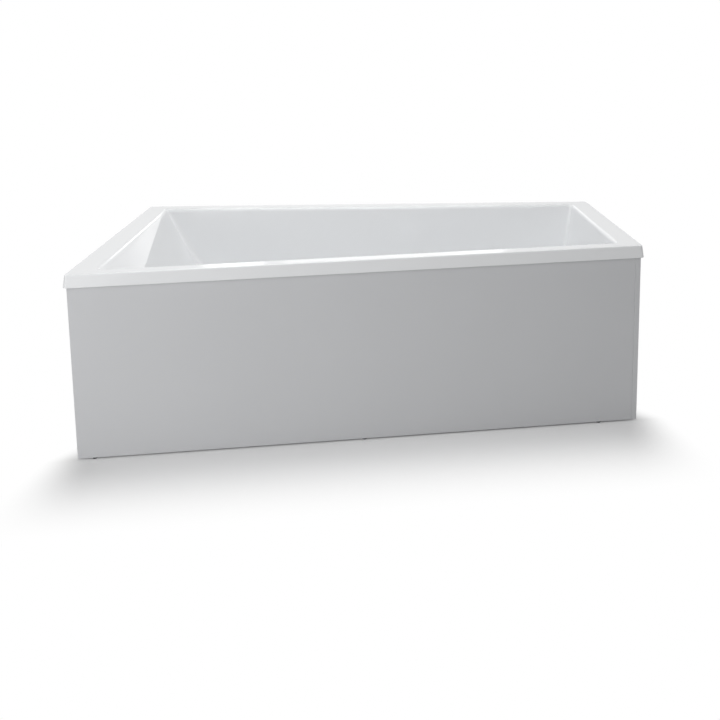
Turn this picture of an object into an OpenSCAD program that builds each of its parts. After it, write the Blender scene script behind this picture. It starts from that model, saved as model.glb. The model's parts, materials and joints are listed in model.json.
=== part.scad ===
// Trapezoid bathtub: a built-in bath for a room corner, with a straight back edge, one long end,
// one short end and a slanted front. Two panels close the front and the short end.
// Millimetres. X runs along the back edge, Y towards the back wall, Z up from the floor.

/* [Overall] */
// Length along the back edge
bath_l = 1700; // [1600:10:1800]
// Depth of the wide, left end
wide_w = 1000; // [950:10:1050]
// Depth of the narrow, right end
narrow_w = 700; // [670:10:730]
// Height of the rim above the floor
bath_h = 560; // [550:5:590]

/* [Rim] */
// Depth of the turned-down skirt
skirt_h = 38; // [30:1:44]
// How far the skirt leans in from its lower edge to its top
skirt_draft = 4; // [1:0.5:5]
// Rounding between the skirt and the rim top
rim_edge_r = 5; // [3:0.5:8]
// Radius of the outer rim corners
rim_corner_r = 10; // [8:1:20]
// Rim width at the left end
rim_left = 86; // [76:1:94]
// Rim width at the back
rim_back = 66; // [60:1:84]
// Rim width at the right end
rim_right = 73; // [68:1:86]
// Rim width at the front
rim_front = 55; // [54:1:62]

/* [Basin] */
// Wall thickness of the moulded shell
shell_t = 6; // [5:0.5:7]
// Depth of the basin at the waste
basin_h = 430; // [410:5:440]
// Fall of the floor towards the waste
floor_fall = 6; // [3:1:8]
// Rounding of the basin's upper edge
lip_r = 12; // [10:1:16]
// Rounding between the walls and the floor
cove_r = 62; // [40:2:70]
// Corner radius of the basin at the rim
corner_top_r = 18; // [15:1:24]
// Corner radius of the basin at the floor
corner_low_r = 78; // [60:1:90]
// Slope of the backrest, across per unit of depth
back_slope = 0.54; // [0.5:0.01:0.58]
// Turn of the backrest in plan, across per unit along Y
back_turn = 0.066; // [0.06:0.002:0.08]
// Slope of the back wall
rear_slope = 0.10; // [0.06:0.01:0.14]
// Slope of the right end wall
foot_slope = 0.15; // [0.12:0.01:0.2]
// Slope of the front wall
front_slope = 0.16; // [0.12:0.01:0.18]
// Fall of the slanted head facet, down per unit across
facet_fall = 0.9; // [0.84:0.02:0.96]

/* [Panels] */
// Thickness of the front and end panels
panel_t = 16; // [12:1:18]
// Setback of the panel faces from the skirt's lower edge
panel_inset = 8; // [8:0.5:10]
// Gap between the floor and the panels
panel_gap = 4; // [3:1:12]
// How far the panels reach up behind the skirt
panel_tuck = 8; // [4:1:10]
// Gap between the panel backs and the battens
batten_gap = 2; // [2:0.5:3]
// Thickness of the battens under the rim at the panels
batten_t = 16; // [12:1:17]
// Thickness of the battens under the rim at the walls
wall_batten_t = 20; // [16:1:22]

/* [Underframe] */
// Thickness of the base board
board_t = 16; // [12:1:18]
// Width of the leg rails
rail_w = 30; // [28:1:40]
// Height of the leg rails
rail_h = 30; // [25:1:34]
// Sheet thickness of the leg rails
rail_t = 2.5; // [2:0.5:3]
// Distance of the left leg rail from the left end of the base board
rail_left_in = 72; // [66:1:100]
// Distance of the right leg rail from the right end of the base board
rail_right_in = 90; // [80:1:140]
// Radius of the foot rods
rod_r = 6; // [5:0.5:7]
// Top of the foot rods above the floor
rod_top = 190; // [170:5:200]
// Radius of the foot pads
pad_r = 30; // [24:1:34]
// Height of the foot pads above their soles
pad_h = 18; // [14:1:22]
// Thickness of the rubber soles
sole_t = 3; // [2:0.5:4]

/* [Waste and overflow] */
// Place of the waste along X
waste_x = 190; // [150:5:220]
// Place of the waste along Y
waste_y = 80; // [60:5:100]
// Radius of the waste flange
flange_r = 43; // [40:1:46]
// Radius of the plug cap
plug_r = 31; // [29:1:34]
// Outer radius of the outlet pipe
outlet_r = 20; // [18:0.5:21]
// Wall of the outlet pipe and the trap
outlet_t = 2.5; // [2:0.5:3]
// How far the outlet pipe's end lies from the back wall line
outlet_back = 30; // [10:5:60]
// Depth of the overflow below the rim
overflow_d = 100; // [85:5:105]
// Radius of the overflow's control knob
knob_r = 35; // [34:1:38]
// Lift of the plug when it is open
plug_lift = 10; // [6:1:10]

/* [Hidden] */
$fn = 48;

// Gap left between pieces that turn or slide in each other
run_gap = 0.05;
// Gap left between fixed pieces that fit round each other
fit_gap = 0.1;
// Small overlap used when a cut runs out of a face
cut = 1;

// Plan of the rim. The rounded front tip falls short of its corner by tip_cut, so the corner is set
// out by as much and the box stays centred on the origin.
slant = atan((wide_w - narrow_w) / bath_l);
tip_cut = rim_corner_r * (tan(slant) + 1 / cos(slant) - 1);
left_x = -bath_l / 2;
right_x = bath_l / 2;
back_y = (wide_w - tip_cut) / 2;
tip_y = back_y - wide_w;
along = [cos(slant), sin(slant)];
inward = [-sin(slant), cos(slant)];

// Y of a line set in by off from the slanted front edge, at a place along X
function front_y(x, off) = tip_y + (x - left_x) * tan(slant) + off / cos(slant);

function unit(v) = v / norm(v);

// Crossing of the line through p along u with the line through q along v
function crossing(p, u, q, v) =
    let (k = ((q[0] - p[0]) * v[1] - (q[1] - p[1]) * v[0]) / (u[0] * v[1] - u[1] * v[0]))
    p + u * k;

// Points of a true arc of radius r that rounds the corner p between p0 and p1
function arc_corner(p0, p, p1, r, n) =
    let (
        u = unit(p0 - p),
        v = unit(p1 - p),
        half = acos(u * v) / 2,
        c = p + unit(u + v) * r / sin(half),
        a = p + u * r / tan(half),
        b = p + v * r / tan(half)
    )
    [for (i = [0:n]) let (q = a * (1 - i / n) + b * (i / n)) c + unit(q - c) * r];

// Points of a soft bend at p, which also holds where the three points lie on one line
function soft_bend(p0, p, p1, reach, n) =
    let (a = p + unit(p0 - p) * reach, b = p + unit(p1 - p) * reach)
    [for (i = [0:n]) let (s = i / n) a * (1 - s) * (1 - s) + p * 2 * s * (1 - s) + b * s * s];

// Steps of each rounded corner and of the crease
corner_n = 7;
crease_n = 2;
crease_reach = 9;

// One level outline of the rim, anticlockwise from the back left corner, set in by off on each side
function rim_ring(off, r, z) =
    let (
        bl = [left_x + off, back_y - off],
        fl = [left_x + off, front_y(left_x + off, off)],
        fr = [right_x - off, front_y(right_x - off, off)],
        br = [right_x - off, back_y - off],
        mid = [left_x + off, (bl[1] + fl[1]) / 2]
    )
    [for (p = concat(
        arc_corner(br, bl, mid, r, corner_n),
        soft_bend(bl, mid, fl, crease_reach, crease_n),
        arc_corner(mid, fl, fr, r, corner_n),
        arc_corner(fl, fr, br, r, corner_n),
        arc_corner(fr, br, bl, r, corner_n)
    )) [p[0], p[1], z]];

// At the rim the backrest starts this far out from the facet
rest_lead = 5;
rest_start = rim_left - rest_lead;
// Straight run kept between the crease and the arc of a corner
crease_room = 3;

// One level outline of the basin at depth d. push moves every wall inward, and wall is the shell
// thickness that the outline is moved out by, zero for the inner face. The left side is the nearer
// of the facet, which runs along Y, and the backrest, which is turned by back_turn, and they meet
// at a crease.
function basin_ring(d, push, wall, r, z) =
    let (
        out_of = function (slope) wall * sqrt(1 + slope * slope),
        back_o = rim_back - out_of(rear_slope) + rear_slope * d + push,
        right_o = rim_right - out_of(foot_slope) + foot_slope * d + push,
        front_o = rim_front - out_of(front_slope) + front_slope * d + push,
        facet_x = left_x + rim_left - out_of(1 / facet_fall) + d / facet_fall + push,
        rest_x = left_x + rest_start - out_of(back_slope) + back_slope * d + push,
        y0 = back_y - rim_back,
        rest_p = [rest_x, y0],
        rest_u = [back_turn, -1],
        y_b = back_y - back_o,
        front_p = [left_x, front_y(left_x, front_o)],
        rest_bl = crossing(rest_p, rest_u, [0, y_b], [1, 0]),
        rest_fl = crossing(rest_p, rest_u, front_p, along),
        meet_y = y0 - (facet_x - rest_x) / back_turn,
        margin = r / tan(45 - slant / 2) + crease_reach + crease_room,
        facet_only = meet_y > y_b - margin,
        rest_only = meet_y < rest_fl[1] + margin,
        bl = facet_only ? [facet_x, y_b] : rest_bl,
        fl = rest_only ? rest_fl : [facet_x, front_y(facet_x, front_o)],
        meet = facet_only ? [facet_x, y_b - margin]
            : rest_only ? rest_fl + unit(rest_bl - rest_fl) * margin
            : [facet_x, meet_y],
        fr = [right_x - right_o, front_y(right_x - right_o, front_o)],
        br = [right_x - right_o, y_b]
    )
    [for (p = concat(
        arc_corner(br, bl, meet, r * 0.8, corner_n),
        soft_bend(bl, meet, fl, crease_reach, crease_n),
        arc_corner(meet, fl, fr, r, corner_n),
        arc_corner(fl, fr, br, r, corner_n),
        arc_corner(fr, br, bl, r * 0.8, corner_n)
    )) [p[0], p[1], z]];

// Corner radius of the basin at depth d: tight at the rim, and softer below the depth soft_from
soft_from = 150;
rim_share = 0.6;
function corner_r(d) =
    corner_top_r * (rim_share + (1 - rim_share) * min(1, d / soft_from))
    + (corner_low_r - corner_top_r) * max(0, d - soft_from) / (basin_h - soft_from);

// Steps of the lip and the cove
lip_n = 4;
cove_n = 5;
wall_depths = [28, 44, 60, 76, 92, 150, 220, 300];
edge_h = basin_h - floor_fall;
under_lip_r = lip_r - shell_t;
// Corner radius inside the skirt, small so that the panels' corners pass up behind it
skirt_in_r = 2.5;

// Basin face from the rim down to the edge of the floor. The lip and the cove are parabolic arcs
// that leave one face and meet the next on their tangents.
function lip_rings(wall, r) =
    [for (i = [0:lip_n]) let (s = i / lip_n, d = wall + r * s * s)
        basin_ring(d, -r * (1 - s) * (1 - s), wall, corner_r(d) + r * (1 - s) * (1 - s), bath_h - d)];
function wall_rings(wall)
    = [for (d = wall_depths) basin_ring(d, 0, wall, corner_r(d) + wall * 0.5, bath_h - d)];
function cove_rings(wall, bottom) =
    [for (i = [0:cove_n]) let (s = i / cove_n, d = bottom - cove_r * (1 - s) * (1 - s))
        basin_ring(d, cove_r * s * s, wall, corner_r(bottom - cove_r) - 10 * s * s + wall * 0.5,
            bath_h - d)];

// The floor ring drawn in to a share of its size round the waste, at a height
function drawn_in(ring, share, z) =
    [for (p = ring) [waste_x + (p[0] - waste_x) * share, waste_y + (p[1] - waste_y) * share, z]];

inner_cove = cove_rings(0, edge_h);
outer_cove = cove_rings(shell_t, basin_h + shell_t);
floor_z = bath_h - basin_h;
under_z = floor_z - shell_t;

function reversed(list) = [for (i = [len(list) - 1:-1:0]) list[i]];

shell_rings = concat(
    [
        drawn_in(inner_cove[cove_n], 0.24, floor_z),
        drawn_in(inner_cove[cove_n], 0.55, floor_z + floor_fall * 0.4)
    ],
    reversed(inner_cove),
    reversed(wall_rings(0)),
    reversed(lip_rings(0, lip_r)),
    [for (i = [3:-1:0]) let (s = i / 3)
        rim_ring(skirt_draft + rim_edge_r * s * s, rim_corner_r, bath_h - rim_edge_r * (1 - s) * (1 - s))],
    [
        rim_ring(0, rim_corner_r, bath_h - skirt_h),
        rim_ring(shell_t, skirt_in_r, bath_h - skirt_h),
        rim_ring(shell_t + skirt_draft, skirt_in_r, bath_h - shell_t)
    ],
    lip_rings(shell_t, under_lip_r),
    wall_rings(shell_t),
    outer_cove
);

// A skin over a stack of rings with equal counts of points, capped at both ends or, when looped,
// joined from the last ring back to the first
module skin(rings, looped = false) {
    m = len(rings[0]);
    n = len(rings);
    last = looped ? n - 1 : n - 2;
    polyhedron(
        points = [for (ring = rings) each ring],
        faces = concat(
            [for (i = [0:last]) let (a = i * m, b = ((i + 1) % n) * m)
                for (j = [0:m - 1]) let (k = (j + 1) % m)
                    each [[a + j, b + k, b + j], [a + j, a + k, b + k]]],
            looped ? [] : [[for (j = [m - 1:-1:0]) j], [for (j = [0:m - 1]) (n - 1) * m + j]]
        )
    );
}

// Overflow axis: a point on the inner face of the front wall, with its axis square to that wall
// into the basin. In its own frame Z runs into the basin, Y down the wall and X along it.
lean = atan(front_slope);
overflow_p = [
    waste_x,
    front_y(waste_x, rim_front + front_slope * overflow_d),
    bath_h - overflow_d
];
module at_overflow() translate(overflow_p) rotate([0, 0, slant]) rotate([lean - 90, 0, 0]) children();
wall_x = [cos(slant), sin(slant), 0];
wall_y = [-sin(slant) * sin(lean), cos(slant) * sin(lean), -cos(lean)];
wall_z = [-sin(slant) * cos(lean), cos(slant) * cos(lean), sin(lean)];
function on_overflow(x, y, z) = overflow_p + wall_x * x + wall_y * y + wall_z * z;

module at_waste(z = 0) translate([waste_x, waste_y, z]) children();

// A ring with a bore through it, standing on z0
module ring(r_out, r_in, z0, h) {
    difference() {
        translate([0, 0, z0]) cylinder(r = r_out, h = h);
        translate([0, 0, z0 - cut]) cylinder(r = r_in, h = h + 2 * cut);
    }
}

// Waste levels
recess_t = 3;
seal_t = 1;
flange_t = 2;
recess_r = flange_r + 1;
waste_hole_r = 26;
waste_tube_r = 24;
waste_seal_t = 3;

// Overflow levels, along its own axis
overflow_hole_r = 27;
gasket_t = 3;
body_front = -shell_t - gasket_t - run_gap;
body_h = 33;

module tub_shell() {
    color("white") difference() {
        skin(shell_rings);
        at_waste(floor_z - recess_t) cylinder(r = recess_r, h = recess_t + 5);
        at_waste(under_z - cut) cylinder(r = waste_hole_r, h = shell_t + 2 * cut);
        at_overflow() translate([0, 0, -shell_t - 5]) cylinder(r = overflow_hole_r, h = shell_t + 10);
    }
}

// Base board, bonded under the floor, with a notch open to the front for the waste and the hose
board_z = under_z - board_t;
board_inset = 5;
board_corner_r = 52;
notch_w = 130;
notch_back = 90;
board_ring = basin_ring(basin_h + shell_t, cove_r + board_inset, shell_t, board_corner_r, board_z);
module base_board() {
    color("burlywood") difference() {
        translate([0, 0, board_z]) linear_extrude(board_t) polygon([for (p = board_ring) [p[0], p[1]]]);
        translate([waste_x - notch_w / 2, -wide_w / 2, board_z - cut])
            cube([notch_w, wide_w / 2 + waste_y + notch_back, board_t + 2 * cut]);
    }
}

// Battens bonded under the rim
batten_z = bath_h - skirt_h;
batten_h = skirt_h - shell_t;
batten_o = panel_inset + panel_t + batten_gap;
wall_batten_gap = 2;
wall_batten_o = shell_t + skirt_draft + wall_batten_gap;
// Distance from the ends of the battens to the rim's outer edge
batten_end = 60;

// A prism in the plan between two lines set in from the front edge, from x0 to x1
module front_strip(x0, x1, off, t, z, h) {
    translate([0, 0, z]) linear_extrude(h) polygon([
        [x0, front_y(x0, off)], [x1, front_y(x1, off)],
        [x1, front_y(x1, off + t)], [x0, front_y(x0, off + t)]
    ]);
}

module rim_batten_front() {
    color("burlywood")
        front_strip(left_x + batten_end, right_x - batten_end, batten_o, batten_t, batten_z, batten_h);
}
module rim_batten_right() {
    y0 = front_y(right_x, batten_end);
    color("burlywood") translate([right_x - batten_o - batten_t, y0, batten_z])
        cube([batten_t, back_y - batten_end - y0, batten_h]);
}
module rim_batten_back() {
    color("burlywood") translate([left_x + batten_end, back_y - wall_batten_o - wall_batten_t, batten_z])
        cube([bath_l - 2 * batten_end, wall_batten_t, batten_h]);
}
module rim_batten_left() {
    y0 = front_y(left_x + wall_batten_o + wall_batten_t, batten_end);
    color("burlywood") translate([left_x + wall_batten_o, y0, batten_z])
        cube([wall_batten_t, back_y - batten_end - y0, batten_h]);
}

// Leg rails, feet and their nuts. A foot stands at each end of each rail.
rail_z = board_z - rail_h;
rail_clear = 12;
rail_front_o = panel_inset + panel_t + rail_clear;
foot_in = 2;
foot_front_o = rail_front_o + pad_r + foot_in;
foot_back_o = 50;
rail_back_o = 22;
rod_hole_gap = 0.5;
screw_hole_gap = 0.2;
board_left_x = min([for (p = board_ring) p[0]]);
board_right_x = max([for (p = board_ring) p[0]]);
rail_x = [board_left_x + rail_left_in, board_right_x - rail_right_in];
feet = [for (x = rail_x) each [[x, front_y(x, foot_front_o)], [x, back_y - foot_back_o]]];
nut_h = 10;
nut_r = rod_r + 4.4;
screw_r = 2.5;
screw_head_r = 5;
screw_head_h = 3;
// Screws of a rail: distance of the first from the rail's front end, and of all from the first
screw_in = 172;
screw_steps = [0, 90, 190, 260];
function screw_ys(x) = [for (s = screw_steps) front_y(x, rail_front_o) + screw_in + s];

module leg_rail(x) {
    y0 = front_y(x, rail_front_o);
    len_y = back_y - rail_back_o - y0;
    color("silver") difference() {
        translate([x - rail_w / 2, y0, rail_z]) cube([rail_w, len_y, rail_h]);
        translate([x - rail_w / 2 + rail_t, y0 - cut, rail_z - cut])
            cube([rail_w - 2 * rail_t, len_y + 2 * cut, rail_h - rail_t + cut]);
        for (f = feet) translate([f[0], f[1], rail_z]) cylinder(r = rod_r + rod_hole_gap, h = rail_h + cut);
        for (y = screw_ys(x)) translate([x, y, rail_z])
            cylinder(r = screw_r + screw_hole_gap, h = rail_h + cut);
    }
}
module leg_rail_left() { leg_rail(rail_x[0]); }
module leg_rail_right() { leg_rail(rail_x[1]); }

// Pan-head screws up through the rails into the base board
module rail_screws() {
    color("silver") for (x = rail_x, y = screw_ys(x)) translate([x, y, board_z - rail_t]) {
        translate([0, 0, -screw_head_h]) cylinder(r = screw_head_r, h = screw_head_h);
        cylinder(r = screw_r, h = rail_t);
    }
}

module hex_nut(z) {
    translate([0, 0, z]) difference() {
        cylinder(r = nut_r, h = nut_h, $fn = 6);
        translate([0, 0, -cut]) cylinder(r = rod_r + run_gap, h = nut_h + 2 * cut);
    }
}
module rail_nuts() {
    color("silver") for (f = feet) translate([f[0], f[1], 0]) hex_nut(board_z - rail_t - nut_h);
}
module lock_nuts() {
    color("silver") for (f = feet) translate([f[0], f[1], 0]) hex_nut(board_z);
}

pad_socket = 8;
pad_edge_h = 4;
hub_r = rod_r + 6.6;
hub_flare = 4;
hub_low = 10;
module foot_rod(i) {
    color("silver") translate([feet[i][0], feet[i][1], sole_t + pad_socket])
        cylinder(r = rod_r, h = rod_top - sole_t - pad_socket);
}
module foot_pad(i) {
    color("dimgray") translate([feet[i][0], feet[i][1], sole_t]) difference() {
        rotate_extrude() polygon([
            [0, 0], [pad_r, 0], [pad_r, pad_edge_h], [hub_r + hub_flare, hub_low], [hub_r, pad_h],
                [0, pad_h]
        ]);
        translate([0, 0, pad_socket]) cylinder(r = rod_r + run_gap, h = pad_h);
    }
}
module foot_sole(i) {
    color("black") translate([feet[i][0], feet[i][1], 0]) cylinder(r = pad_r, h = sole_t);
}

// Panels
panel_top = bath_h - skirt_h + panel_tuck;
panel_h = panel_top - panel_gap;
end_in_x = right_x - panel_inset - panel_t;
end_out_x = right_x - panel_inset;
end_back_o = 2;
// Gap that keeps the front panel's left end clear of the skirt's rounded corner
panel_end_gap = 1.5;
// Clearance of the end panel round the back skirt and its batten
skirt_clear = 3;

module front_panel() {
    color("lightgray")
        front_strip(left_x + panel_inset + panel_end_gap, end_in_x, panel_inset, panel_t, panel_gap,
            panel_h);
}

// The end panel is cut back above the skirt's lower edge to clear the back skirt and batten
module end_panel() {
    color("lightgray") difference() {
        translate([0, 0, panel_gap]) linear_extrude(panel_h) polygon([
            [end_in_x, front_y(end_in_x, panel_inset)], [end_out_x, front_y(end_out_x, panel_inset)],
            [end_out_x, back_y - end_back_o], [end_in_x, back_y - end_back_o]
        ]);
        translate([end_in_x - cut, back_y - shell_t - skirt_draft - skirt_clear, batten_z - skirt_clear])
            cube([panel_t + 2 * cut, 2 * wall_batten_t, panel_tuck + skirt_clear + cut]);
    }
}

angle_leg = 40;
angle_t = 2;
angle_lift = 30;
angle_short = 20;
module panel_corner_angle() {
    in_o = panel_inset + panel_t + run_gap;
    z0 = panel_gap + angle_lift;
    x1 = end_in_x - run_gap;
    x0 = x1 - angle_leg;
    y1 = front_y(x1, in_o) + angle_leg;
    color("silver") translate([0, 0, z0]) linear_extrude(batten_z - z0 - angle_short) polygon([
        [x0, front_y(x0, in_o)],
        [x1, front_y(x1, in_o)],
        [x1, y1],
        [x1 - angle_t, y1],
        [x1 - angle_t, front_y(x1 - angle_t, in_o + angle_t)],
        [x0, front_y(x0, in_o + angle_t)]
    ]);
}

// Angle brackets hang the panels from the battens. In its own frame a bracket lies with X along
// the panel, Y square to it and inward from the panel's back, and its shelf under the batten.
hook_w = 40;
hook_t = 2;
hook_drop = 46;
hook_hole_r = 2.2;
// Length of the slanted front, and the brackets' places along it and along the narrow end
front_run = bath_l / cos(slant);
// Distances of the first and last bracket from the ends of the front and of the narrow end
front_mark_first = 150;
front_mark_last = 286;
end_mark_first = 170;
end_mark_last = 180;
front_marks = [front_mark_first, front_run / 2, front_run - front_mark_last];
end_marks = [end_mark_first, narrow_w - end_mark_last];
module at_front(s) {
    p = [left_x, tip_y] + along * s + inward * (panel_inset + panel_t + run_gap);
    translate([p[0], p[1], batten_z]) rotate([0, 0, slant]) children();
}
module at_end(s) {
    translate([end_in_x - run_gap, front_y(right_x, 0) + s, batten_z]) rotate([0, 0, 90]) children();
}
hook_screw_y = batten_gap - run_gap + batten_t / 2;
module panel_bracket() {
    difference() {
        union() {
            translate([-hook_w / 2, 0, -hook_t]) cube([hook_w, batten_gap - run_gap + batten_t, hook_t]);
            translate([-hook_w / 2, 0, -hook_drop]) cube([hook_w, hook_t, hook_drop]);
        }
        translate([0, hook_screw_y, -hook_t - cut]) cylinder(r = hook_hole_r, h = hook_t + 2 * cut);
        translate([0, -cut, -hook_drop / 2]) rotate([-90, 0, 0])
            cylinder(r = hook_hole_r, h = hook_t + 2 * cut);
    }
}
module panel_brackets_front() { color("silver") for (s = front_marks) at_front(s) panel_bracket(); }
module panel_brackets_end() { color("silver") for (s = end_marks) at_end(s) panel_bracket(); }

hook_screw_r = 2;
hook_head_r = 4;
hook_head_h = 2;
module bracket_screw_pair() {
    translate([0, hook_screw_y, -hook_t]) {
        translate([0, 0, -hook_head_h]) cylinder(r = hook_head_r, h = hook_head_h);
        cylinder(r = hook_screw_r, h = hook_t);
    }
    translate([0, hook_t, -hook_drop / 2]) rotate([-90, 0, 0]) {
        cylinder(r = hook_head_r, h = hook_head_h);
        translate([0, 0, -hook_t]) cylinder(r = hook_screw_r, h = hook_t);
    }
}
module bracket_screws() {
    color("silver") {
        for (s = front_marks) at_front(s) bracket_screw_pair();
        for (s = end_marks) at_end(s) bracket_screw_pair();
    }
}

// Plastic glides under the panels' lower edges
glide_r = 6.5;
// Distances of the first and last glide from the ends of the front and of the narrow end
front_glide_first = 60;
front_glide_last = 126;
end_glide_first = 120;
end_glide_last = 60;
front_glides = [front_glide_first, front_run / 2, front_run - front_glide_last];
end_glides = [end_glide_first, narrow_w - end_glide_last];
module panel_glide() {
    translate([0, -panel_t / 2, -batten_z]) cylinder(r = glide_r, h = panel_gap);
}
module panel_glides() {
    color("dimgray") {
        for (s = front_glides) at_front(s) panel_glide();
        for (s = end_glides) at_end(s) panel_glide();
    }
}

// Wall brackets: a plate with two screw holes on the wall and a shelf under the skirt and batten.
// In its own frame Y runs out to the wall, and the wall face is at Y = 0.
plate_w = 40;
plate_t = 3;
plate_drop = 54;
hole_r = 3;
hole_low = 40;
hole_pitch = 25;
gusset_short = 6;
shelf_reach = wall_batten_o + wall_batten_t + wall_batten_gap;
// Distances of the brackets from the ends of the walls
back_bracket_in = 350;
left_bracket_in = 250;
back_marks = [for (m = [-1, 1]) m * (bath_l / 2 - back_bracket_in)];
left_marks = [for (m = [-1, 1]) m * (wide_w / 2 - left_bracket_in)];
module wall_bracket() {
    difference() {
        union() {
            translate([-plate_w / 2, -plate_t, -plate_drop]) cube([plate_w, plate_t, plate_drop]);
            translate([-plate_w / 2, -shelf_reach, -plate_t]) cube([plate_w, shelf_reach, plate_t]);
            for (x = [-plate_w / 2, plate_w / 2 - plate_t]) translate([x, 0, 0]) rotate([0, -90, 180])
                linear_extrude(plate_t)
                    polygon([[-plate_t, 0], [-plate_drop + gusset_short, 0], [-plate_t, shelf_reach]]);
        }
        for (z = [-hole_low, -hole_low + hole_pitch])
            translate([0, cut, z]) rotate([90, 0, 0]) cylinder(r = hole_r, h = plate_t + 2 * cut);
    }
}
module wall_brackets_back() {
    color("silver") for (x = back_marks) translate([x, back_y, batten_z]) wall_bracket();
}
module wall_brackets_left() {
    color("silver") for (y = left_marks) translate([left_x, y, batten_z]) rotate([0, 0, 90]) wall_bracket();
}

// Waste set, round its own upright axis, hung from the basin's floor
guide_r = 6;
guide_h = 8;
guide_lift = 2;
spoke_w = 2.5;
stem_r = 3;
rod_pin_r = 2.5;
tube_in_r = 20;
tube_l = 22;
tube_low = floor_z - tube_l;
// Height of the conical seat that the plug closes
seat_h = 6;
body_top = under_z - waste_seal_t;
body_r = 36;
body_flange_t = 4;
bowl_wall = 3.5;
bowl_floor = 3;
bowl_h = 59;
bowl_low = body_top - bowl_h;
neck_h = 9;
// Outer radius of the pipe ends that the union nuts hold
joint_r = outlet_r + 1;
port_z = bowl_low + joint_r + 5;
port_r = 13.1;
port_in_r = 11;
port_end = 62;
outlet_end = 60;
boss_r = 9;
boss_h = 12;
// Distances from the axis at which the side tubes and their bores begin
tube_from = 30;
bore_from = 20;

module waste_flange() {
    color("gainsboro") at_waste() difference() {
        union() {
            translate([0, 0, floor_z - flange_t]) cylinder(r = flange_r, h = flange_t);
            translate([0, 0, tube_low]) cylinder(r = waste_tube_r, h = tube_l - flange_t);
        }
        difference() {
            translate([0, 0, tube_low - cut]) cylinder(r = tube_in_r, h = tube_l + 2 * cut);
            translate([0, 0, tube_low + guide_lift]) cylinder(r = guide_r, h = guide_h);
            for (a = [0, 120, 240]) rotate([0, 0, a]) translate([0, -spoke_w / 2, tube_low + guide_lift])
                cube([tube_in_r + cut, spoke_w, guide_h]);
        }
        translate([0, 0, tube_low - cut])
            cylinder(r = stem_r + run_gap, h = guide_lift + guide_h + 2 * cut);
        translate([0, 0, floor_z - seat_h])
            cylinder(r1 = tube_in_r, r2 = tube_in_r + seat_h / 2, h = seat_h + 0.2);
    }
}
module flange_seal() {
    color("black") at_waste() ring(flange_r - 1, waste_tube_r + 2, floor_z - recess_t, seal_t);
}
module waste_seal() {
    color("black") at_waste() ring(flange_r - 2, waste_hole_r + 1, body_top, waste_seal_t);
}

module waste_body() {
    color("whitesmoke") at_waste() difference() {
        union() {
            translate([0, 0, body_top - body_flange_t]) cylinder(r = flange_r - 1, h = body_flange_t);
            translate([0, 0, bowl_low]) cylinder(r = body_r, h = bowl_h);
            translate([0, 0, bowl_low - boss_h]) cylinder(r = boss_r, h = boss_h);
            translate([0, -tube_from, port_z]) rotate([90, 0, 0])
                cylinder(r = port_r, h = port_end - tube_from);
            translate([0, tube_from, port_z]) rotate([-90, 0, 0])
                cylinder(r = joint_r, h = outlet_end - tube_from);
        }
        translate([0, 0, body_top - neck_h - cut])
            cylinder(r = waste_tube_r + fit_gap, h = neck_h + 2 * cut);
        translate([0, 0, bowl_low + bowl_floor])
            cylinder(r = body_r - bowl_wall, h = bowl_h - neck_h - bowl_floor);
        translate([0, -bore_from, port_z]) rotate([90, 0, 0]) cylinder(r = port_in_r, h = port_end);
        translate([0, bore_from, port_z]) rotate([-90, 0, 0])
            cylinder(r = outlet_r - outlet_t, h = outlet_end);
        translate([0, 0, bowl_low - boss_h - cut])
            cylinder(r = rod_pin_r + run_gap, h = boss_h + bowl_floor + 2 * cut);
    }
}

// Plug: a domed cap with a seal ring under it, on a stem that slides in the flange's guide
plug_gap = 0.3;
dome_h = 4;
cap_edge_t = 1.5;
cap_neck_h = 5;
cap_neck_r = tube_in_r - 3;
stem_low = tube_low - 3;
module plug_cap() {
    dome_r = (plug_r * plug_r + dome_h * dome_h) / (2 * dome_h);
    color("gainsboro") at_waste() difference() {
        union() {
            intersection() {
                translate([0, 0, floor_z + plug_gap + cap_edge_t + dome_h - dome_r])
                    sphere(r = dome_r, $fn = 96);
                translate([0, 0, floor_z + plug_gap + cap_edge_t]) cylinder(r = plug_r, h = dome_h + cut);
            }
            translate([0, 0, floor_z + plug_gap]) cylinder(r = plug_r, h = cap_edge_t);
            translate([0, 0, floor_z - cap_neck_h]) cylinder(r = cap_neck_r, h = cap_neck_h + plug_gap);
        }
        translate([0, 0, floor_z - cap_neck_h - cut]) cylinder(r = stem_r + run_gap, h = cap_neck_h);
    }
}
plug_seal_t = 3;
plug_seal_out = 1.2;
plug_seal_drop = 0.4;
module plug_seal() {
    color("black") at_waste()
        ring(tube_in_r + plug_seal_out, cap_neck_r + run_gap, floor_z - plug_seal_drop - plug_seal_t,
            plug_seal_t);
}
module plug_stem() {
    color("silver") at_waste() translate([0, 0, stem_low])
        cylinder(r = stem_r, h = floor_z - cut - stem_low);
}

// Lifting rod: slides in the boss under the waste body and lifts the stem. At full lift its lower
// end is still in the fitting.
fitting_r = 7;
fitting_h = 16;
fitting_top = bowl_low - boss_h;
fitting_low = fitting_top - fitting_h;
rod_low = fitting_top - plug_lift - 1;
module lift_rod() {
    color("silver") at_waste() translate([0, 0, rod_low])
        cylinder(r = rod_pin_r, h = stem_low - plug_gap - rod_low);
}
module cable_end_fitting() {
    color("dimgray") at_waste() difference() {
        translate([0, 0, fitting_low]) cylinder(r = fitting_r, h = fitting_h);
        translate([0, 0, rod_low - run_gap]) cylinder(r = rod_pin_r + run_gap, h = fitting_h);
    }
}

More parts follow.
